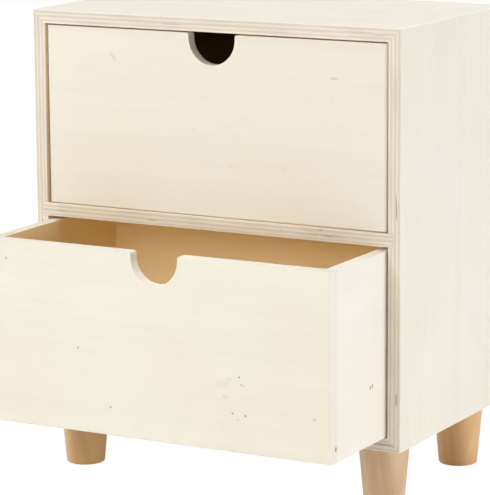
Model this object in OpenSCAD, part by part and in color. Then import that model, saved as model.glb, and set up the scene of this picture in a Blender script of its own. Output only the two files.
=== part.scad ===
// Small plywood chest with two drawers for compact discs.
// A mitred case on four turned legs holds two box drawers, one above the other.
// The upper drawer is shut. The lower drawer stands open, as it does in use.
// Millimetres. X runs left to right, Y front to back, Z up from the floor.
// The origin is on the floor, midway between the sides, and midway between the
// face of the open lower drawer and the back of the case.

/* [Case] */
// Width of the case over its sides
case_w = 300; // [240:1:400]
// Depth of the case, front edge to back
case_d = 175; // [150:1:300]
// Height of the case without its legs
case_h = 300; // [250:1:400]
// Thickness of the four outer boards
board_t = 10; // [8:0.5:15]
// Radius sanded on the four long outer corners
case_round = 1.2; // [0.5:0.1:6]

/* [Middle shelf] */
// Thickness of the shelf between the drawers
shelf_t = 10; // [8:0.5:15]
// Clear height of the lower drawer's bay
lower_bay_h = 136.8; // [90:0.1:180]
// Depth of the housing groove in each side
housing_depth = 4; // [2:0.5:6]
// Glue gap left at each end of the shelf
housing_gap = 0.1; // [0.05:0.05:0.5]

/* [Back panel] */
// Thickness of the back panel
back_t = 3; // [2:0.5:5]
// Width of the rebate that the back panel lies in
rebate_w = 5; // [4:0.5:6]
// Gap round the back panel in its rebate
back_gap = 0.3; // [0.1:0.1:1]
// Diameter of a brad
brad_d = 1.2; // [1:0.1:1.6]
// Length of a brad under its head
brad_len = 14; // [10:1:20]
// Diameter of a brad's head
brad_head_d = 2.4; // [2:0.1:3.2]
// Thickness of a brad's head
brad_head_t = 0.6; // [0.4:0.1:1]
// Brads along each level board
brads_across = 4; // [2:1:6]
// Brads up each side, in each bay
brads_up = 2; // [1:1:4]
// Distance of the end brads from the case's corners
brad_corner_gap = 22; // [16:1:40]
// Radial clearance of a brad in its hole
brad_gap = 0.05; // [0.02:0.01:0.1]

/* [Legs] */
// Height of a leg
leg_h = 45; // [20:1:120]
// Diameter of a leg at its top
leg_top_d = 37; // [24:0.5:46]
// Diameter of a leg at its foot
leg_foot_d = 29; // [16:0.5:40]
// Radius turned on the edge of the foot
foot_round = 1.5; // [0.5:0.1:4]
// Distance of a leg's axis from the case's outer faces
leg_inset = 24; // [19:0.5:60]

/* [Leg screws] */
// Diameter of a leg screw
screw_d = 4.2; // [3:0.1:5]
// Length of a leg screw, head and point included
screw_len = 35; // [20:1:40]
// Diameter of its countersunk head
screw_head_d = 8.4; // [7:0.1:10]
// Depth of the head's cone
screw_head_h = 2.3; // [1.5:0.1:3]
// Length of the point
screw_point = 5; // [3:0.5:8]
// Width of a blade of the cross recess
recess_w = 0.9; // [0.6:0.1:1.2]
// Span of the cross recess
recess_span = 4.4; // [3:0.1:5]
// Depth of the cross recess
recess_deep = 1.4; // [0.8:0.1:2]
// Radial clearance of a screw in its hole
screw_gap = 0.1; // [0.05:0.05:0.3]

/* [Drawers] */
// Thickness of the drawer walls
wall_t = 8.5; // [6:0.5:12]
// Radius sanded on the drawer's upright corners
drawer_round = 2.5; // [0.5:0.1:5]
// Gap between the drawer and each side of its bay
side_gap = 1.2; // [0.3:0.1:3]
// Gap over the upper drawer
upper_gap = 1.1; // [0.5:0.1:5]
// Gap over the lower drawer
lower_gap = 2.5; // [0.5:0.1:5]
// Running gap under the drawer
floor_gap = 0.3; // [0.1:0.1:1]
// Distance that a shut drawer stands back from the front edges
front_recess = 1; // [0:0.5:6]
// Gap left between a shut drawer and the back panel
stop_gap = 0.5; // [0.3:0.1:3]
// Distance that the lower drawer stands open
lower_open = 84; // [0:1:110]
// Thickness of the drawer bottoms
bottom_t = 3; // [2:0.5:5]
// Height of a drawer bottom over the lower edge of the walls
bottom_lift = 3; // [2:0.5:8]
// Depth of the groove that holds the bottom
groove_depth = 4; // [2:0.5:5]
// Gap round the bottom in its groove
groove_gap = 0.2; // [0.1:0.1:1]

/* [Finger notch] */
// Width of the notch
notch_w = 37.5; // [24:0.5:44]
// Depth of the notch under the drawer's top edge
notch_deep = 22.5; // [19:0.5:60]
// Radius that eases the two corners at its mouth
notch_ease = 2; // [0.5:0.1:4]

/* [Hidden] */
$fn = 64;
OVERCUT = 1; // how far a cutting shape runs past what it cuts

// Colours of the woods and the steel
PLY = [0.94, 0.91, 0.84];
PLY_PALE = [0.95, 0.93, 0.87];
PLY_THIN = [0.86, 0.76, 0.6];
BEECH = [0.76, 0.61, 0.46];
STEEL = [0.72, 0.72, 0.7];

// Case
inner_w = case_w - 2 * board_t;
total_d = case_d + lower_open - front_recess;
case_front_y = total_d / 2 - case_d;
case_back_y = case_front_y + case_d;
case_mid_y = case_front_y + case_d / 2;
case_mid_z = leg_h + case_h / 2;
lower_bay_z = leg_h + board_t;
shelf_z = lower_bay_z + lower_bay_h;
upper_bay_z = shelf_z + shelf_t;
upper_bay_h = leg_h + case_h - board_t - upper_bay_z;

// Back panel and its brads
back_front_y = case_back_y - back_t;
brad_line_x = inner_w / 2 + rebate_w / 2;
brad_low_z = lower_bay_z - rebate_w / 2;
brad_high_z = leg_h + case_h - board_t + rebate_w / 2;
brad_shelf_z = shelf_z + shelf_t / 2;
brad_span_x = case_w - 2 * brad_corner_gap;

// Drawers
drawer_w = inner_w - 2 * side_gap;
drawer_d = case_d - back_t - front_recess - stop_gap;
shut_y = case_front_y + front_recess + drawer_d / 2;
lower_drawer_h = lower_bay_h - lower_gap - floor_gap;
upper_drawer_h = upper_bay_h - upper_gap - floor_gap;
notch_r = notch_w / 2;

// ---------------------------------------------------------------- shared shapes

// A rectangle with true round corners, centred
module rounded_rect_2d(w, h, r) {
    square([w - 2 * r, h], center = true);
    square([w, h - 2 * r], center = true);
    for (x = [-1, 1], y = [-1, 1])
        translate([x * (w / 2 - r), y * (h / 2 - r)])
            circle(r);
}

// The wall of a mitred frame, seen along its open ends
module frame_2d(w, h, t, r) {
    difference() {
        rounded_rect_2d(w, h, r);
        square([w - 2 * t, h - 2 * t], center = true);
    }
}

// One board of that frame: side 1 is at the high end of the second axis, -1 at the low end
module level_board_2d(w, h, t, r, side) {
    x = w / 2 - t;
    y = h / 2 - t;
    reach = t + OVERCUT;
    intersection() {
        frame_2d(w, h, t, r);
        polygon([
            [-x, side * y], [x, side * y],
            [x + reach, side * (y + reach)], [-x - reach, side * (y + reach)]
        ]);
    }
}

// The other pair of boards: side 1 is to the right, -1 to the left
module upright_board_2d(w, h, t, r, side) {
    x = w / 2 - t;
    y = h / 2 - t;
    reach = t + OVERCUT;
    intersection() {
        frame_2d(w, h, t, r);
        polygon([
            [side * x, -y], [side * x, y],
            [side * (x + reach), y + reach], [side * (x + reach), -y - reach]
        ]);
    }
}

// Stands an outline drawn in X and Z upright and gives it a depth from front to back
module deepen(front_y, depth) {
    translate([0, front_y + depth, 0])
        rotate([90, 0, 0])
            linear_extrude(depth)
                children();
}

// ---------------------------------------------------------------- case

// Everything cut out of the case boards
module case_cuts() {
    back_rebate();
    shelf_housing();
    brad_holes(brad_gap);
    at_legs() screw_hole();
}

module back_rebate() {
    translate([0, back_front_y + (back_t + OVERCUT) / 2, case_mid_z])
        cube([inner_w + 2 * rebate_w, back_t + OVERCUT, case_h - 2 * board_t + 2 * rebate_w], center = true);
}

module shelf_housing() {
    translate([0, case_mid_y, shelf_z + shelf_t / 2])
        cube([inner_w + 2 * housing_depth, case_d + 2 * OVERCUT, shelf_t], center = true);
}

module case_level_board(side) {
    difference() {
        deepen(case_front_y, case_d)
            translate([0, case_mid_z])
                level_board_2d(case_w, case_h, board_t, case_round, side);
        case_cuts();
    }
}

module case_upright_board(side) {
    difference() {
        deepen(case_front_y, case_d)
            translate([0, case_mid_z])
                upright_board_2d(case_w, case_h, board_t, case_round, side);
        case_cuts();
    }
}

module case_top() { color(PLY_PALE) case_level_board(1); }
module case_bottom() { color(PLY) case_level_board(-1); }
module case_left_side() { color(PLY) case_upright_board(-1); }
module case_right_side() { color(PLY_PALE) case_upright_board(1); }

module middle_shelf() {
    shelf_w = inner_w + 2 * housing_depth - 2 * housing_gap;
    shelf_d = case_d - back_t;
    color(PLY)
        difference() {
            translate([-shelf_w / 2, case_front_y, shelf_z])
                cube([shelf_w, shelf_d, shelf_t]);
            brad_holes(brad_gap);
        }
}

// ---------------------------------------------------------------- back panel

module back_panel() {
    panel_w = inner_w + 2 * rebate_w - 2 * back_gap;
    panel_h = case_h - 2 * board_t + 2 * rebate_w - 2 * back_gap;
    color(PLY_THIN)
        difference() {
            translate([-panel_w / 2, back_front_y, case_mid_z - panel_h / 2])
                cube([panel_w, back_t, panel_h]);
            brad_holes(brad_gap);
        }
}

// Puts its children at each brad, on the rear face of the back panel
module at_brads() {
    for (z = [brad_low_z, brad_shelf_z, brad_high_z], i = [0 : brads_across - 1])
        translate([brad_span_x * (i / (brads_across - 1) - 0.5), case_back_y, z])
            children();
    for (side = [-1, 1], bay = [[lower_bay_z, lower_bay_h], [upper_bay_z, upper_bay_h]])
        for (i = [1 : brads_up])
            translate([side * brad_line_x, case_back_y, bay[0] + bay[1] * i / (brads_up + 1)])
                children();
}

// A brad with its head flush at the origin and its shank running towards the front
module brad(gap) {
    rotate([90, 0, 0]) {
        cylinder(h = brad_head_t, d = brad_head_d + 2 * gap);
        cylinder(h = brad_head_t + brad_len, d = brad_d + 2 * gap);
    }
}

module brad_holes(gap) {
    at_brads() {
        brad(gap);
        rotate([-90, 0, 0])
            cylinder(h = OVERCUT, d = brad_head_d + 2 * gap);
    }
}

module back_panel_brads() {
    color(STEEL) at_brads() brad(0);
}

// ---------------------------------------------------------------- legs

// The place of a leg's axis: sx is -1 at the left, sy is -1 at the front
function leg_place(sx, sy) = [
    sx * (case_w / 2 - leg_inset),
    case_mid_y + sy * (case_d / 2 - leg_inset),
    0
];

module at_legs() {
    for (sx = [-1, 1], sy = [-1, 1])
        translate(leg_place(sx, sy))
            children();
}

// A turned leg with a straight taper and a rounded edge at the foot
module turned_leg() {
    foot_r = leg_foot_d / 2;
    difference() {
        rotate_extrude()
            union() {
                polygon([
                    [0, 0], [foot_r - foot_round, 0], [foot_r - foot_round, foot_round],
                    [foot_r, foot_round], [leg_top_d / 2, leg_h], [0, leg_h]
                ]);
                intersection() {
                    translate([foot_r - foot_round, foot_round])
                        circle(foot_round);
                    square([foot_r, foot_round]);
                }
            }
        screw_hole();
    }
}

module leg(sx, sy) {
    color(BEECH)
        translate(leg_place(sx, sy))
            turned_leg();
}

module front_left_leg() { leg(-1, -1); }
module front_right_leg() { leg(1, -1); }
module rear_left_leg() { leg(-1, 1); }
module rear_right_leg() { leg(1, 1); }

// ---------------------------------------------------------------- leg screws

// A countersunk screw on a leg's axis, its head flush with the floor of the lower bay
module screw_body(gap) {
    head_r = screw_head_d / 2 + gap;
    shank_r = screw_d / 2 + gap;
    tip_r = 0.3;
    translate([0, 0, lower_bay_z]) {
        translate([0, 0, -screw_head_h - gap])
            cylinder(h = screw_head_h + gap, r1 = shank_r, r2 = head_r);
        translate([0, 0, -(screw_len - screw_point)])
            cylinder(h = screw_len - screw_point, r = shank_r);
        translate([0, 0, -screw_len - gap])
            cylinder(h = screw_point + gap, r1 = tip_r, r2 = shank_r);
    }
}

module screw_hole() {
    screw_body(screw_gap);
    translate([0, 0, lower_bay_z])
        cylinder(h = OVERCUT, d = screw_head_d + 2 * screw_gap);
}

module screw_recess() {
    for (turn = [0, 90])
        translate([0, 0, lower_bay_z - recess_deep / 2 + OVERCUT / 2])
            rotate([0, 0, turn])
                cube([recess_span, recess_w, recess_deep + OVERCUT], center = true);
}

module leg_screws() {
    color(STEEL)
        at_legs()
            difference() {
                screw_body(0);
                screw_recess();
            }
}

// ---------------------------------------------------------------- drawers

// A drawer lies about its own middle, with the lower edges of its walls at zero height.
// Side 1 is the back or the right-hand wall, -1 the front or the left-hand wall.

module drawer_level_wall(side, h) {
    difference() {
        linear_extrude(h)
            level_board_2d(drawer_w, drawer_d, wall_t, drawer_round, side);
        bottom_groove();
    }
}

module drawer_side_wall(side, h) {
    difference() {
        linear_extrude(h)
            upright_board_2d(drawer_w, drawer_d, wall_t, drawer_round, side);
        bottom_groove();
    }
}

module bottom_groove() {
    groove_w = drawer_w - 2 * wall_t + 2 * groove_depth;
    groove_d = drawer_d - 2 * wall_t + 2 * groove_depth;
    translate([-groove_w / 2, -groove_d / 2, bottom_lift])
        cube([groove_w, groove_d, bottom_t]);
}

module drawer_bottom() {
    panel_w = drawer_w - 2 * wall_t + 2 * groove_depth - 2 * groove_gap;
    panel_d = drawer_d - 2 * wall_t + 2 * groove_depth - 2 * groove_gap;
    translate([-panel_w / 2, -panel_d / 2, bottom_lift])
        cube([panel_w, panel_d, bottom_t]);
}

// The finger notch, drawn with its mouth on the X axis
module notch_2d() {
    translate([0, notch_r - notch_deep])
        circle(notch_r);
    translate([-notch_r, notch_r - notch_deep])
        square([notch_w, notch_deep - notch_r + OVERCUT]);
    for (side = [-1, 1])
        difference() {
            translate([side * (notch_r + notch_ease / 2), 0])
                square([notch_ease, 2 * notch_ease], center = true);
            translate([side * (notch_r + notch_ease), -notch_ease])
                circle(notch_ease);
        }
}

module drawer_front(h) {
    difference() {
        drawer_level_wall(-1, h);
        deepen(-drawer_d / 2 - OVERCUT, wall_t + 2 * OVERCUT)
            translate([0, h])
                notch_2d();
    }
}

module at_upper_drawer() {
    translate([0, shut_y, upper_bay_z + floor_gap])
        children();
}

module at_lower_drawer() {
    translate([0, shut_y - lower_open, lower_bay_z + floor_gap])
        children();
}

module upper_drawer_front() { color(PLY) at_upper_drawer() drawer_front(upper_drawer_h); }
module upper_drawer_back() { color(PLY) at_upper_drawer() drawer_level_wall(1, upper_drawer_h); }
module upper_drawer_left_side() { color(PLY) at_upper_drawer() drawer_side_wall(-1, upper_drawer_h); }
module upper_drawer_right_side() { color(PLY) at_upper_drawer() drawer_side_wall(1, upper_drawer_h); }
module upper_drawer_bottom() { color(PLY_THIN) at_upper_drawer() drawer_bottom(); }

module lower_drawer_front() { color(PLY) at_lower_drawer() drawer_front(lower_drawer_h); }
module lower_drawer_back() { color(PLY) at_lower_drawer() drawer_level_wall(1, lower_drawer_h); }
module lower_drawer_left_side() { color(PLY) at_lower_drawer() drawer_side_wall(-1, lower_drawer_h); }
module lower_drawer_right_side() { color(PLY) at_lower_drawer() drawer_side_wall(1, lower_drawer_h); }
module lower_drawer_bottom() { color(PLY_THIN) at_lower_drawer() drawer_bottom(); }

// ---------------------------------------------------------------- what is drawn

case_top();
case_bottom();
case_left_side();
case_right_side();
middle_shelf();
back_panel();
back_panel_brads();
front_left_leg();
front_right_leg();
rear_left_leg();
rear_right_leg();
leg_screws();
upper_drawer_front();
upper_drawer_back();
upper_drawer_left_side();
upper_drawer_right_side();
upper_drawer_bottom();
lower_drawer_front();
lower_drawer_back();
lower_drawer_left_side();
lower_drawer_right_side();
lower_drawer_bottom();
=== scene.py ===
"""Small plywood chest with two drawers for compact discs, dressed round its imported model.

Metres. X runs left to right, Y front to back, Z up from the floor.
"""
import math

import bmesh
import bpy
from mathutils import Euler, Matrix, Vector


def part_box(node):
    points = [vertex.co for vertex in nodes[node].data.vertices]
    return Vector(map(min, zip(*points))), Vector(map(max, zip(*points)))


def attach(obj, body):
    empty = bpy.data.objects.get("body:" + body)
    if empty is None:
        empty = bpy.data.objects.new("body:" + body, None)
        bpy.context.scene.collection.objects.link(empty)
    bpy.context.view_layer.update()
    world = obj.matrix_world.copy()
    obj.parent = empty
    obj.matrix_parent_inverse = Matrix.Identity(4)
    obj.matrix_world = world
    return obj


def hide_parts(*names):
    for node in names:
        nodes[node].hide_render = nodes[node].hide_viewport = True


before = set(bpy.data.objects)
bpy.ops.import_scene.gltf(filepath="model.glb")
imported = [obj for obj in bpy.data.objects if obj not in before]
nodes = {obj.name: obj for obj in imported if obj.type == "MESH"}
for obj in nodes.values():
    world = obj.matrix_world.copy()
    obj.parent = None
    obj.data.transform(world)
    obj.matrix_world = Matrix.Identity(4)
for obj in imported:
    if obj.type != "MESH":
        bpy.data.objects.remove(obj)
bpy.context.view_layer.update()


# ---------------------------------------------------------------- case boards
# Top, bottom and two sides of 10 mm plywood with seven plies, cut from pale sanded stock.
# They are mitred and glued at the corners, so each ply runs round the corner as one line.
# The long outer corners are rounded and the front and back arrises eased with fine paper.

BOARD = 0.010
OUTER_ARRIS = 0.0011
INNER_ARRIS = 0.0005
ARRIS_STEPS = 4
PLY_SWAY = 0.0006
RELIEF = 0.0002
case_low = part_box("case_left_side")[0]
case_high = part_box("case_right_side")[1]
CASE_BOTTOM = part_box("case_bottom")[0].z
CASE_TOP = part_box("case_top")[1].z
CASE_FRONT = case_low.y
CASE_BACK = case_high.y
CASE_HALF = case_high.x

# the outer veneer is the palest; the faces towards the bays are painted warmer, the right one darker, as
# painted shade for the dim warm light inside the bays
PALE_VENEER = (0.832, 0.808, 0.740, 1)
BAY_SHADE_VENEER = (0.840, 0.715, 0.530, 1)
LEFT_BAY_SHADE_VENEER = (0.930, 0.800, 0.600, 1)
RIGHT_BAY_SHADE_VENEER = (0.720, 0.500, 0.250, 1)
OUTSIDE_DRIFT = (0.985, 0.965, 0.935)
INSIDE_DRIFT = (0.97, 0.93, 0.88)
LONG_PLY = (0.790, 0.728, 0.610, 1)
CROSS_PLY = (0.690, 0.625, 0.515, 1)
CORE_GAP = (0.16, 0.11, 0.075, 1)
# the dark of knots and specks, also the colour of the marks of painted shade
KNOT_AND_SHADE = (0.30, 0.22, 0.14, 1)

# two places this close are one place, and a face may lie this far off its plane
SAME = 1e-5
OFF_FACE = 5e-5


def node(tree, kind, inputs=(), **settings):
    """A node with its settings, and its inputs given as numbers, colours or other sockets."""
    made = tree.nodes.new(kind)
    for name, value in settings.items():
        setattr(made, name, value)
    for name, value in dict(inputs).items():
        if isinstance(value, bpy.types.NodeSocket):
            tree.links.new(value, made.inputs[name])
        else:
            made.inputs[name].default_value = value
    return made


def maths(tree, operation, a, b=0.0, c=0.0):
    return node(tree, "ShaderNodeMath", {0: a, 1: b, 2: c}, operation=operation).outputs[0]


def ramp(tree, value, low, high, out_low=0.0, out_high=1.0):
    """Runs smoothly from one value to another as the input goes from low to high."""
    inputs = {"Value": value, "From Min": low, "From Max": high, "To Min": out_low, "To Max": out_high}
    made = node(tree, "ShaderNodeMapRange", inputs, interpolation_type="SMOOTHSTEP")
    return made.outputs["Result"]


def blended(tree, factor, a, b, how="MIX"):
    made = node(tree, "ShaderNodeMix", data_type="RGBA", blend_type=how)
    for socket, value in ((made.inputs[0], factor), (made.inputs[6], a), (made.inputs[7], b)):
        if isinstance(value, bpy.types.NodeSocket):
            tree.links.new(value, socket)
        else:
            socket.default_value = value
    return made.outputs[2]


def toned(colour, tone):
    """A colour with its red, green and blue each multiplied by a number of its own."""
    return [part * shift for part, shift in zip(colour[:3], tone)] + [1]


def times_grey(tree, colour, value):
    """A colour made lighter or darker by a number that changes from place to place."""
    grey = node(tree, "ShaderNodeCombineXYZ", {0: value, 1: value, 2: value})
    return blended(tree, 1.0, colour, grey.outputs[0], "MULTIPLY")


def noise(tree, place, cycles, detail=2.0, roughness=0.5, distortion=0.0):
    """Noise with its own number of cycles a metre along X, Y and Z."""
    scaled = node(tree, "ShaderNodeVectorMath", {0: place, 1: cycles}, operation="MULTIPLY")
    inputs = {
        "Vector": scaled.outputs[0], "Scale": 1.0, "Detail": detail,
        "Roughness": roughness, "Distortion": distortion,
    }
    return node(tree, "ShaderNodeTexNoise", inputs).outputs[0]


def along(grain, across, lengthwise):
    """Cycles a metre for a pattern drawn out along the grain's axis."""
    return tuple(lengthwise if axis == grain else across for axis in "XYZ")


def new_material(name):
    material = bpy.data.materials.new(name)
    material.use_nodes = True
    tree = material.node_tree
    tree.nodes.clear()
    surface = node(tree, "ShaderNodeBsdfPrincipled")
    output = node(tree, "ShaderNodeOutputMaterial")
    tree.links.new(surface.outputs[0], output.inputs["Surface"])
    return material, tree, surface


def finish(tree, surface, colour, roughness, gloss, height, strength):
    """Gives a surface its colour, its sheen, and a fine relief of the given strength."""
    tree.links.new(colour, surface.inputs["Base Color"])
    tree.links.new(roughness, surface.inputs["Roughness"])
    surface.inputs["Specular IOR Level"].default_value = gloss
    bump = node(tree, "ShaderNodeBump", {"Strength": strength, "Distance": RELIEF, "Height": height})
    tree.links.new(bump.outputs[0], surface.inputs["Normal"])


def depth_in(tree, apart, planes):
    """Depth of a point under the nearest of the outer faces, each given as (axis, place, way in)."""
    depth = None
    for axis, place, way in planes:
        here = maths(tree, "MULTIPLY_ADD", apart.outputs[axis], way, -way * place)
        depth = here if depth is None else maths(tree, "MINIMUM", depth, here)
    return depth


def ply_colours(tree, under, long_ply, cross_ply, skin_tint):
    """Seven plies through the board: long and cross grain in turn, with thin face plies."""
    edges = [0.0, 0.09, 0.235, 0.375, 0.535, 0.69, 0.84, 1.0]
    tints = [skin_tint, 1.0, 1.0, 0.98, 1.0, 1.0, 1.04]
    soft = 0.012
    made = node(tree, "ShaderNodeValToRGB", {0: under})
    stops = made.color_ramp.elements
    for ply, tint in enumerate(tints):
        colour = toned(long_ply if ply % 2 == 0 else cross_ply, (tint, tint, tint))
        for place in (edges[ply] + soft, edges[ply + 1] - soft):
            stop = stops.new(place)
            stop.color = colour
    stops.remove(stops[0])
    stops.remove(stops[len(stops) - 1])
    return made.outputs[0]


def mark_mask(tree, place, at, reach):
    """A soft spot at a place in the object, with its own reach along X, Y and Z."""
    offset = node(tree, "ShaderNodeVectorMath", {0: place, 1: at}, operation="SUBTRACT")
    shrunk = node(tree, "ShaderNodeVectorMath", {0: offset.outputs[0], 1: reach}, operation="DIVIDE")
    distance = node(tree, "ShaderNodeVectorMath", {0: shrunk.outputs[0]}, operation="LENGTH")
    return ramp(tree, distance.outputs["Value"], 1.0, 0.3)


def face_veneer(tree, place, grain, under, outside, inside):
    """The face's colour: broad tone, growth bands, ring lines, pores and fine fibres.

    The fibres come back too, since they also make the relief.
    """
    tone = ramp(tree, noise(tree, place, (7, 7, 7), detail=2.0), 0.3, 0.7)
    bands = noise(tree, place, along(grain, 55, 2.2), detail=2.0, distortion=0.6)
    fibres = noise(tree, place, along(grain, 1300, 26), detail=2.0)
    pores = ramp(tree, noise(tree, place, along(grain, 2600, 110), detail=0.0), 0.68, 0.80)
    rings = noise(tree, place, along(grain, 11, 2.6), detail=1.0, distortion=0.3)
    across_ring = maths(tree, "FRACT", maths(tree, "MULTIPLY", rings, 13.0))
    ring_lines = ramp(tree, across_ring, 0.0, 0.30, 1.0, 0.0)

    outer = blended(tree, tone, outside, toned(outside, OUTSIDE_DRIFT))
    inner = blended(tree, tone, inside, toned(inside, INSIDE_DRIFT))
    face = blended(tree, ramp(tree, under, 0.6, 0.7), outer, inner)
    fibre_tone = ramp(tree, fibres, 0.25, 0.75, -0.01, 0.01)
    figure = maths(tree, "ADD", ramp(tree, bands, 0.3, 0.7, 0.985, 1.01), fibre_tone)
    figure = maths(tree, "MULTIPLY_ADD", pores, -0.03, figure)
    figure = maths(tree, "MULTIPLY_ADD", ring_lines, -0.012, figure)
    return times_grey(tree, face, figure), fibres


def sawn_plies(tree, place, grain, under, long_ply, cross_ply, skin_tint):
    """The cut edge's colour: plies broken by fibres and grit, with small gaps in the core.

    The grit comes back too, since it also makes the relief.
    """
    plies = ply_colours(tree, under, long_ply, cross_ply, skin_tint)
    drift = ramp(tree, noise(tree, place, along(grain, 90, 22), detail=2.0), 0.35, 0.75, 1.03, 0.94)
    streaks = ramp(tree, noise(tree, place, along(grain, 2600, 60), detail=2.0), 0.25, 0.75, 0.95, 1.05)
    grit = ramp(tree, noise(tree, place, (1900, 1900, 1900), detail=1.0), 0.3, 0.75, 1.02, 0.95)
    broken = maths(tree, "MULTIPLY", maths(tree, "MULTIPLY", drift, streaks), grit)
    gaps = ramp(tree, noise(tree, place, along(grain, 700, 30), detail=0.0), 0.765, 0.80, 0.0, 0.75)
    core = maths(tree, "MULTIPLY", ramp(tree, under, 0.2, 0.3), ramp(tree, under, 0.8, 0.7))
    open_core = maths(tree, "MULTIPLY", gaps, core)
    return blended(tree, open_core, times_grey(tree, plies, broken), CORE_GAP), grit


def plywood(
    name, grain, across, planes, thickness=BOARD, outside=PALE_VENEER, inside=BAY_SHADE_VENEER,
    long_ply=LONG_PLY, cross_ply=CROSS_PLY, skin_tint=0.96, marks=(),
):
    """Seven-ply board, its faces square to the axis across: veneer there, ply lines on cut edges.

    Planes are the outer faces that its plies run along. Marks are small knots and specks, and some
    strips of painted shade, each a place, a reach and a strength.
    """
    material, tree, surface = new_material(name)
    coordinates = node(tree, "ShaderNodeTexCoord")
    place = coordinates.outputs["Object"]
    apart = node(tree, "ShaderNodeSeparateXYZ", {0: place})
    facing = node(tree, "ShaderNodeSeparateXYZ", {0: coordinates.outputs["Normal"]}).outputs[across]

    # how far under the outer face a point lies, as a length and as a share that sways a little
    depth = depth_in(tree, apart, planes)
    sway = maths(tree, "SUBTRACT", noise(tree, place, along(grain, 25, 18), detail=1.0), 0.5)
    under = maths(tree, "DIVIDE", maths(tree, "MULTIPLY_ADD", sway, PLY_SWAY, depth), thickness)
    face, fibres = face_veneer(tree, place, grain, under, outside, inside)
    plies, grit = sawn_plies(tree, place, grain, under, long_ply, cross_ply, skin_tint)

    # the veneer shows where the surface is a face, the plies wherever it was cut
    skin = 0.1 * thickness
    from_face = maths(tree, "MINIMUM", depth, maths(tree, "SUBTRACT", thickness, depth))
    in_skin = ramp(tree, from_face, 1.1 * skin, 0.85 * skin)
    faces_out = ramp(tree, maths(tree, "ABSOLUTE", facing), 0.45, 0.75)
    is_cut = maths(tree, "SUBTRACT", 1.0, maths(tree, "MULTIPLY", faces_out, in_skin))
    colour = blended(tree, is_cut, face, plies)
    for at, reach, strength in marks:
        spot = maths(tree, "MULTIPLY", mark_mask(tree, place, at, reach), strength)
        colour = blended(tree, spot, colour, KNOT_AND_SHADE)

    roughness = maths(tree, "MULTIPLY_ADD", is_cut, 0.14, ramp(tree, fibres, 0.2, 0.8, 0.56, 0.68))
    cut_relief = maths(tree, "SUBTRACT", grit, 1.0)
    height = maths(tree, "MULTIPLY_ADD", is_cut, cut_relief, maths(tree, "MULTIPLY", fibres, 0.12))
    finish(tree, surface, colour, roughness, 0.30, height, 0.35)
    return material


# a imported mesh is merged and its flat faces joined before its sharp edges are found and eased
MERGED = 2e-6
FLAT = math.radians(0.4)
SHARP = math.radians(35)
CREASED = math.radians(50)


def eased_copy(source, name, arrises, material, body):
    """A merged copy of a packed board stands for its node, with each arris eased.

    The arrises are given as (radius, test), where the test takes an edge's two ends.
    """
    board = bmesh.new()
    board.from_mesh(nodes[source].data)
    bmesh.ops.remove_doubles(board, verts=board.verts[:], dist=MERGED)
    bmesh.ops.dissolve_limit(
        board, angle_limit=FLAT, verts=board.verts[:], edges=board.edges[:], delimit=set()
    )
    for radius, is_arris in arrises:
        sharp = [edge for edge in board.edges if edge.calc_face_angle(0) > SHARP]
        chosen = [edge for edge in sharp if is_arris(*(end.co for end in edge.verts))]
        bmesh.ops.bevel(
            board, geom=chosen, offset=radius, offset_type="OFFSET", segments=ARRIS_STEPS, profile=0.5,
            affect="EDGES", material=-1, clamp_overlap=True,
        )
    mesh = bpy.data.meshes.new(name)
    board.to_mesh(mesh)
    board.free()
    mesh.materials.clear()
    mesh.materials.append(material)
    mesh.shade_smooth()
    mesh.set_sharp_from_angle(angle=CREASED)
    piece = bpy.data.objects.new(name, mesh)
    bpy.context.collection.objects.link(piece)
    weighted = piece.modifiers.new("even faces", "WEIGHTED_NORMAL")
    weighted.keep_sharp = True
    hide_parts(source)
    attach(piece, body)
    return piece


# the case's outline with its rounded corners lies less deep than this
OUTLINE = 0.0009


def case_depth(point):
    return min(CASE_HALF - abs(point.x), point.z - CASE_BOTTOM, CASE_TOP - point.z)


def at_case_end(a, b):
    return any(max(abs(a.y - end), abs(b.y - end)) < SAME for end in (CASE_FRONT, CASE_BACK))


def on_outer_arris(a, b):
    return at_case_end(a, b) and case_depth((a + b) / 2) < OUTLINE


def on_inner_arris(a, b):
    return at_case_end(a, b) and case_depth((a + b) / 2) > BOARD - OFF_FACE


case_planes = (
    ("X", CASE_HALF, -1), ("X", -CASE_HALF, 1),
    ("Z", CASE_BOTTOM, 1), ("Z", CASE_TOP, -1),
)
case_arrises = ((OUTER_ARRIS, on_outer_arris), (INNER_ARRIS, on_inner_arris))

# a glue line that stands a little open at the right end of the bottom board
open_glue_line = (((0.134, CASE_FRONT, 0.0503), (0.0260, 0.004, 0.0009), 0.55),)
level_ply = plywood("case level ply", "X", "Z", case_planes, marks=open_glue_line)
left_ply = plywood("case left side ply", "Z", "X", case_planes, inside=LEFT_BAY_SHADE_VENEER)
right_ply = plywood("case right side ply", "Z", "X", case_planes, inside=RIGHT_BAY_SHADE_VENEER)
for source, name, material in (
    ("case_top", "top_board", level_ply),
    ("case_bottom", "bottom_board", level_ply),
    ("case_left_side", "left_side_board", left_ply),
    ("case_right_side", "right_side_board", right_ply),
):
    eased_copy(source, name, case_arrises, material, "case")


# ---------------------------------------------------------------- middle shelf
# The board between the drawers, of the same plywood, let into a housing in each side.
# Its front edge is flush with the case, so its plies run into the plies of the sides.

shelf_low, shelf_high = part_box("middle_shelf")


def on_shelf_front(a, b):
    lengthwise = abs(a.x - b.x) > BOARD
    return lengthwise and max(abs(a.y - shelf_low.y), abs(b.y - shelf_low.y)) < SAME
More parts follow.
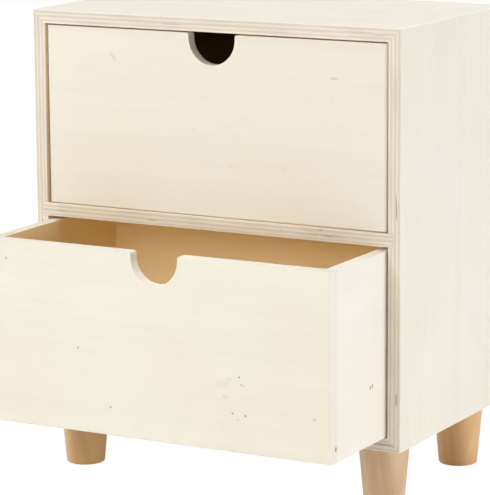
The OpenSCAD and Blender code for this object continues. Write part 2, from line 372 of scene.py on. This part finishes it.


# a painted shadow darkens the top arris at its right end, under the upper drawer, and the plies have two
# dark specks
shelf_specks_and_shade = (
    ((0.140, shelf_low.y + 0.0004, shelf_high.z), (0.075, 0.0016, 0.0007), 0.45),
    ((0.0876, shelf_low.y, 0.2000), (0.0022, 0.004, 0.0010), 0.35),
    ((0.0935, shelf_low.y, 0.1959), (0.0050, 0.004, 0.0008), 0.50),
)
shelf_planes = (("Z", shelf_low.z, 1),)
shelf_arrises = ((INNER_ARRIS, on_shelf_front),)
shelf_ply = plywood("shelf ply", "X", "Z", shelf_planes, outside=BAY_SHADE_VENEER, marks=shelf_specks_and_shade)
eased_copy("middle_shelf", "shelf_board", shelf_arrises, shelf_ply, "case")


# ---------------------------------------------------------------- back panel and drawer bottoms
# Thin sheets of three-ply: the back lies in a rebate behind the case and is bradded on,
# and the two drawer bottoms sit in grooves.

BACK_SHEET = (0.900, 0.745, 0.480, 1)
BACK_SHEET_DULL = (0.760, 0.595, 0.375, 1)
BOTTOM_SHEET = (0.930, 0.870, 0.730, 1)
BOTTOM_SHEET_DULL = (0.880, 0.810, 0.660, 1)
SHEET_BAND = (0.620, 0.450, 0.265, 1)
SHEET_FIBRE = (0.580, 0.420, 0.250, 1)
SHEET_PORE = (0.300, 0.200, 0.120, 1)


def thin_sheet(name, grain, pale, dull):
    """Three-ply seen on its face: broad tone from pale to dull, bands, fibres and pores."""
    material, tree, surface = new_material(name)
    place = node(tree, "ShaderNodeTexCoord").outputs["Object"]
    colour = blended(tree, ramp(tree, noise(tree, place, (5, 5, 5), detail=2.0), 0.3, 0.7), pale, dull)
    bands = noise(tree, place, along(grain, 42, 1.6), detail=3.0, distortion=0.8)
    colour = blended(tree, ramp(tree, bands, 0.45, 0.75, 0.0, 0.28), colour, SHEET_BAND)
    fibres = noise(tree, place, along(grain, 1200, 22), detail=2.0)
    colour = blended(tree, ramp(tree, fibres, 0.5, 0.8, 0.0, 0.22), colour, SHEET_FIBRE)
    pores = noise(tree, place, along(grain, 2200, 90), detail=0.0)
    colour = blended(tree, ramp(tree, pores, 0.68, 0.80, 0.0, 0.30), colour, SHEET_PORE)
    finish(tree, surface, colour, ramp(tree, fibres, 0.2, 0.8, 0.58, 0.72), 0.28, fibres, 0.3)
    return material


def dress(name, material):
    """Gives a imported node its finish; its mesh stays as it is."""
    for slot in nodes[name].material_slots:
        slot.material = material


dress("back_panel", thin_sheet("back sheet", "Z", BACK_SHEET, BACK_SHEET_DULL))
bottom_sheet = thin_sheet("drawer bottom sheet", "X", BOTTOM_SHEET, BOTTOM_SHEET_DULL)
dress("upper_drawer_bottom", bottom_sheet)
dress("lower_drawer_bottom", bottom_sheet)


# ---------------------------------------------------------------- brads and leg screws
# Small steel fixings, zinc plated: brads round the back panel with their heads flush,
# and one countersunk screw down through the case bottom into each leg.

BRIGHT_ZINC = (0.62, 0.61, 0.57, 1)
DULL_ZINC = (0.50, 0.50, 0.49, 1)


def zinc_plate():
    material, tree, surface = new_material("zinc plate")
    place = node(tree, "ShaderNodeTexCoord").outputs["Object"]
    spangle = noise(tree, place, (260, 260, 260), detail=3.0)
    colour = blended(tree, ramp(tree, spangle, 0.3, 0.7), BRIGHT_ZINC, DULL_ZINC)
    tree.links.new(colour, surface.inputs["Base Color"])
    tree.links.new(ramp(tree, spangle, 0.3, 0.7, 0.28, 0.46), surface.inputs["Roughness"])
    surface.inputs["Metallic"].default_value = 1.0
    return material


zinc = zinc_plate()
dress("back_panel_brads", zinc)
dress("leg_screws", zinc)


# ---------------------------------------------------------------- legs
# Four short legs turned from beech, tapering to the foot, each with a soft edge at the floor.
# The wood has only a thin wax on it: upright grain with fine dark flecks, darker than the plywood.

BEECH_LIGHT = (0.660, 0.405, 0.185)
BEECH_MID = (0.600, 0.335, 0.138)
BEECH_DARK = (0.480, 0.245, 0.092)
BEECH_FLECK = (0.340, 0.170, 0.070)
GRAIN_LEAN = (0.015, 0.02, 0.6)


def turned_beech(name, tone):
    """Waxed beech. The tone shifts its colours, partly for the wood of each billet and partly as painted
    light and shade.
    """
    material, tree, surface = new_material(name)
    light, mid, dark, fleck = (
        toned(colour, tone) for colour in (BEECH_LIGHT, BEECH_MID, BEECH_DARK, BEECH_FLECK)
    )
    place = node(tree, "ShaderNodeTexCoord").outputs["Object"]
    leaning = node(tree, "ShaderNodeMapping", {"Vector": place, "Rotation": GRAIN_LEAN}).outputs[0]
    rings = noise(tree, leaning, (230, 70, 3.5), detail=2.0, roughness=0.5, distortion=0.1)
    colour = blended(tree, ramp(tree, rings, 0.32, 0.68), light, mid)
    fine = noise(tree, place, (1500, 1500, 22), detail=2.0)
    colour = blended(tree, ramp(tree, fine, 0.45, 0.8, 0.0, 0.30), colour, dark)
    flecks = ramp(tree, noise(tree, place, (2400, 2400, 260), detail=0.0), 0.70, 0.80, 0.0, 0.28)
    colour = blended(tree, flecks, colour, fleck)
    finish(tree, surface, colour, ramp(tree, fine, 0.2, 0.8, 0.46, 0.60), 0.5, fine, 0.25)
    surface.inputs["Coat Weight"].default_value = 1.0
    surface.inputs["Coat Roughness"].default_value = 0.42
    return material


# the front left leg, in the shade under the open drawer, is painted darker and warmer, and the two right
# legs paler, as a painted sheen
for leg, tone in (
    ("front_left_leg", (0.87, 0.87, 0.76)),
    ("front_right_leg", (0.95, 1.09, 1.46)),
    ("rear_left_leg", (1.02, 1.04, 1.02)),
    ("rear_right_leg", (1.10, 1.10, 1.06)),
):
    dress(leg, turned_beech(leg.replace("_", " ") + " beech", tone))


# ---------------------------------------------------------------- drawers
# Two box drawers of 8.5 mm plywood, mitred like the case, with round upright corners.
# Each front has a finger notch sawn in its top edge; no knob, runner or stop is fitted.

WALL = 0.0085
DRAWER_ARRIS = 0.0004
UNDER_ARRIS = 0.0009
NOTCH_REACH = 0.022
NOTCH_DROP = 0.030
FRONT_VENEER = (0.826, 0.798, 0.696, 1)
SIDE_VENEER = (0.895, 0.874, 0.818, 1)
# the drawers' insides are painted warmer than their outsides, as painted shade, and the upper drawer's
# inside is browner still
AMBER_INSIDE_SHADE = (0.932, 0.778, 0.492, 1)
BROWNER_INSIDE_SHADE = (0.780, 0.650, 0.410, 1)
DRAWER_LONG_PLY = (0.895, 0.855, 0.765, 1)
DRAWER_CROSS_PLY = (0.820, 0.765, 0.670, 1)
# the drawers' outermost ply is painted darker, a painted shade that dims the highlight on their eased
# arrises and round corners
DRAWER_SKIN_SHADE = 0.85

# on the round corners, an edge of a wall's face lies less deep than this
CORNER_RISE = 0.0008


def make_drawer(body, painted_inside, front_marks, side_marks=()):
    """Dresses the four walls of a drawer, whose inside gets a warmer colour of its own, a painted shade
    for the dim light in it.
    """
    front_low, front_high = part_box(body + "_front")
    low = Vector((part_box(body + "_left_side")[0].x, front_low.y, front_low.z))
    high = Vector((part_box(body + "_right_side")[1].x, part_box(body + "_back")[1].y, front_high.z))

    def on_wall_face(point):
        depth = min(high.x - abs(point.x), point.y - low.y, high.y - point.y)
        return depth < CORNER_RISE or depth > WALL - OFF_FACE

    def at_level(a, b, level):
        return max(abs(a.z - level), abs(b.z - level)) < SAME

    def on_rim(a, b):
        """True for the arrises along the walls' top edges and round the finger notch."""
        middle = (a + b) / 2
        in_front = middle.y < low.y + WALL + OFF_FACE
        in_notch = abs(middle.x) < NOTCH_REACH and middle.z > high.z - NOTCH_DROP
        on_notch = in_front and in_notch and abs(a.y - b.y) < SAME
        return on_wall_face(middle) and (at_level(a, b, high.z) or on_notch)

    def on_foot(a, b):
        return on_wall_face((a + b) / 2) and at_level(a, b, low.z)

    # a faint band down each flank, as wide as the front board, with a soft edge
    corner_band = ((0, low.y + WALL / 2, high.z), (1.0, 0.0062, 1.0), 0.085)
    side_marks = side_marks + (corner_band,)
    planes = (("X", high.x, -1), ("X", low.x, 1), ("Y", low.y, 1), ("Y", high.y, -1))
    plies = {"long_ply": DRAWER_LONG_PLY, "cross_ply": DRAWER_CROSS_PLY, "skin_tint": DRAWER_SKIN_SHADE}
    front = plywood(
        body + " front ply", "X", "Y", planes, WALL, FRONT_VENEER, painted_inside, marks=front_marks, **plies
    )
    side = plywood(
        body + " side ply", "Y", "X", planes, WALL, SIDE_VENEER, painted_inside, marks=side_marks, **plies
    )
    arrises = ((UNDER_ARRIS, on_foot), (DRAWER_ARRIS, on_rim))
    for wall, material in (("front", front), ("back", front), ("left_side", side), ("right_side", side)):
        source = body + "_" + wall
        eased_copy(source, source + "_wall", arrises, material, body)


MM = 0.001
SPOT_DEPTH = 4 * MM


def spots(axis, level, places):
    """Knots and specks on a face square to X (axis 0) or Y (axis 1), at its level in metres.

    Each is (across, up, half width, half height, strength), with its lengths in millimetres.
    """
    made = []
    for across, up, half_width, half_height, strength in places:
        at = [across * MM, across * MM, up * MM]
        reach = [half_width * MM, half_width * MM, half_height * MM]
        at[axis] = level
        reach[axis] = SPOT_DEPTH
        made.append((tuple(at), tuple(reach), strength))
    return tuple(made)


upper_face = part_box("upper_drawer_front")[0].y
lower_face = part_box("lower_drawer_front")[0].y
lower_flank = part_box("lower_drawer_right_side")[1].x

# painted shade darkens the upper drawer's front corners in their lower half, where they stand in the
# narrow gaps beside the case
corner_gap_shade = (((0, upper_face + 0.0011, 0.210), (1.0, 0.0014, 0.140), 0.52),)
make_drawer("upper_drawer", BROWNER_INSIDE_SHADE, spots(1, upper_face, (
    (97.6, 307.4, 4.6, 1.5, 0.30), (96.8, 291.4, 2.8, 1.1, 0.10),
    (-84.0, 315.2, 1.8, 2.2, 0.16), (-82.3, 313.6, 1.8, 2.2, 0.18), (-80.6, 312.0, 1.8, 2.2, 0.16),
    (-15.1, 264.3, 4.0, 3.5, 0.06), (11.2, 268.2, 2.6, 1.2, 0.08), (20.9, 262.4, 2.6, 1.5, 0.08),
    (14.2, 239.6, 3.5, 1.2, 0.10), (57.9, 239.9, 3.0, 4.0, 0.07),
)), corner_gap_shade)
make_drawer("lower_drawer", AMBER_INSIDE_SHADE, spots(1, lower_face, (
    (-122.8, 175.7, 1.2, 1.1, 0.75), (-63.2, 116.4, 1.1, 1.1, 0.70), (-36.9, 76.0, 1.2, 1.1, 0.75),
    (67.3, 109.0, 1.0, 0.9, 1.0), (68.8, 103.9, 1.1, 1.0, 0.55), (70.4, 103.3, 1.3, 0.8, 0.40),
    (59.1, 106.8, 2.6, 2.0, 0.10), (54.2, 102.7, 9.0, 4.0, 0.06), (56.1, 94.1, 4.0, 1.9, 0.17),
    (61.9, 82.9, 1.2, 1.1, 0.80), (72.1, 82.2, 1.1, 1.0, 1.0), (66.3, 78.8, 1.1, 1.1, 0.40),
    (69.9, 94.4, 3.5, 2.0, 0.07), (125.7, 85.7, 2.2, 2.0, 0.28), (123.5, 139.5, 2.5, 1.5, 0.06),
)), spots(0, lower_flank, (
    (-67.1, 97.5, 1.5, 2.2, 1.0), (-70.2, 96.8, 1.5, 2.0, 1.0), (-122.9, 65.3, 1.7, 2.7, 1.0),
)))


# ---------------------------------------------------------------- studio
# A plain white floor that runs out of sight, an even white surround, and soft windows on all
# sides and above. The two low strips stand for light thrown back by white walls.

FLOOR_REACH = 12.0
PAPER_WHITE = (0.88, 0.88, 0.88, 1)
PAPER_GLOW = 1.06
PAPER_GLOW_SHARE = 0.92
SURROUND_LIGHT = 0.10
LAMP_COLOUR = (1.0, 0.985, 0.965)

floor_mesh = bpy.data.meshes.new("floor")
floor_form = bmesh.new()
bmesh.ops.create_grid(floor_form, x_segments=1, y_segments=1, size=FLOOR_REACH)
floor_form.to_mesh(floor_mesh)
floor_form.free()
floor = bpy.data.objects.new("floor", floor_mesh)
bpy.context.collection.objects.link(floor)
paper, paper_tree, paper_surface = new_material("white paper")
paper_surface.inputs["Base Color"].default_value = PAPER_WHITE
paper_surface.inputs["Roughness"].default_value = 0.9
paper_surface.inputs["Specular IOR Level"].default_value = 0.0
paper_glow = node(paper_tree, "ShaderNodeEmission", {"Color": (1, 1, 1, 1), "Strength": PAPER_GLOW})
paper_seen = node(paper_tree, "ShaderNodeLightPath").outputs["Is Camera Ray"]
glow_share = maths(paper_tree, "MULTIPLY", paper_seen, PAPER_GLOW_SHARE)
paper_parts = {0: glow_share, 1: paper_surface.outputs[0], 2: paper_glow.outputs[0]}
paper_mix = node(paper_tree, "ShaderNodeMixShader", paper_parts)
paper_tree.links.new(paper_mix.outputs[0], paper_tree.nodes["Material Output"].inputs["Surface"])
floor_mesh.materials.append(paper)

world = bpy.data.worlds.new("surround")
world.use_nodes = True
bpy.context.scene.world = world
surround = world.node_tree.nodes["Background"]
surround.inputs["Color"].default_value = (1, 1, 1, 1)
ray = node(world.node_tree, "ShaderNodeLightPath").outputs
seen_or_mirrored = maths(world.node_tree, "MAXIMUM", ray["Is Camera Ray"], ray["Is Glossy Ray"])
strength = ramp(world.node_tree, seen_or_mirrored, 0.0, 1.0, SURROUND_LIGHT, 1.0)
world.node_tree.links.new(strength, surround.inputs["Strength"])
bpy.context.scene.cycles.diffuse_bounces = 8


def soft_light(name, position, target, size, power):
    """A rectangular window of light, its size in metres and its power in watts."""
    data = bpy.data.lights.new(name, "AREA")
    data.shape = "RECTANGLE"
    data.size, data.size_y = size
    data.energy = power
    data.color = LAMP_COLOUR
    light = bpy.data.objects.new(name, data)
    light.location = position
    light.rotation_euler = (Vector(target) - Vector(position)).to_track_quat("-Z", "Y").to_euler()
    bpy.context.collection.objects.link(light)


soft_light("front window", (-0.5, -2.9, 1.87), (0, 0, 0.18), (1.0, 1.0), 40.0)
soft_light("low front window", (-0.1, -3.2, 1.1), (0, 0, 0.18), (2.6, 0.8), 25.0)
soft_light("overhead", (0.35, -0.05, 2.9), (0, -0.05, 0.18), (1.6, 0.8), 40.0)
soft_light("right window", (2.8, 1.0, 1.3), (0, 0, 0.18), (1.0, 0.8), 14.0)
soft_light("right strip", (2.5, 0.35, 0.12), (0, 0, 0.12), (1.2, 0.24), 21.0)
soft_light("left strip", (-2.5, -0.5, 0.12), (0, 0, 0.12), (1.6, 0.24), 26.5)
soft_light("left window", (-2.9, 0.0, 1.2), (0, 0, 0.18), (1.6, 0.8), 8.0)
soft_light("rear window", (0.4, 3.0, 1.4), (0, 0, 0.18), (1.8, 1.0), 22.0)

# The camera stands to the right of the front, a little above the chest. Its focal length was
# found in pixels of the photograph, which is 495 pixels high.
VIEW_YAW = math.radians(28.976)
VIEW_PITCH = math.radians(10.897)
VIEW_ROLL = math.radians(-0.396)
VIEW_TARGET = Vector((0.026708, -0.046, 0.182132))
VIEW_DISTANCE = 1.977075
FOCAL_PIXELS = 2766.1
PHOTO_HEIGHT = 495
SENSOR = 36.0

camera_data = bpy.data.cameras.new("camera")
camera_data.sensor_width = SENSOR
camera_data.lens = FOCAL_PIXELS * SENSOR / PHOTO_HEIGHT
camera_data.clip_start = 0.05
camera_data.clip_end = 60.0
camera = bpy.data.objects.new("camera", camera_data)
turn = Euler((math.pi / 2 - VIEW_PITCH, 0, VIEW_YAW)).to_matrix().to_4x4()
backwards = turn.to_3x3() @ Vector((0, 0, 1))
stand = Matrix.Translation(VIEW_TARGET + backwards * VIEW_DISTANCE)
camera.matrix_world = stand @ turn @ Matrix.Rotation(VIEW_ROLL, 4, "Z")
bpy.context.collection.objects.link(camera)
bpy.context.scene.camera = camera
bpy.context.scene.view_settings.view_transform = "Standard"
bpy.context.scene.view_settings.look = "None"
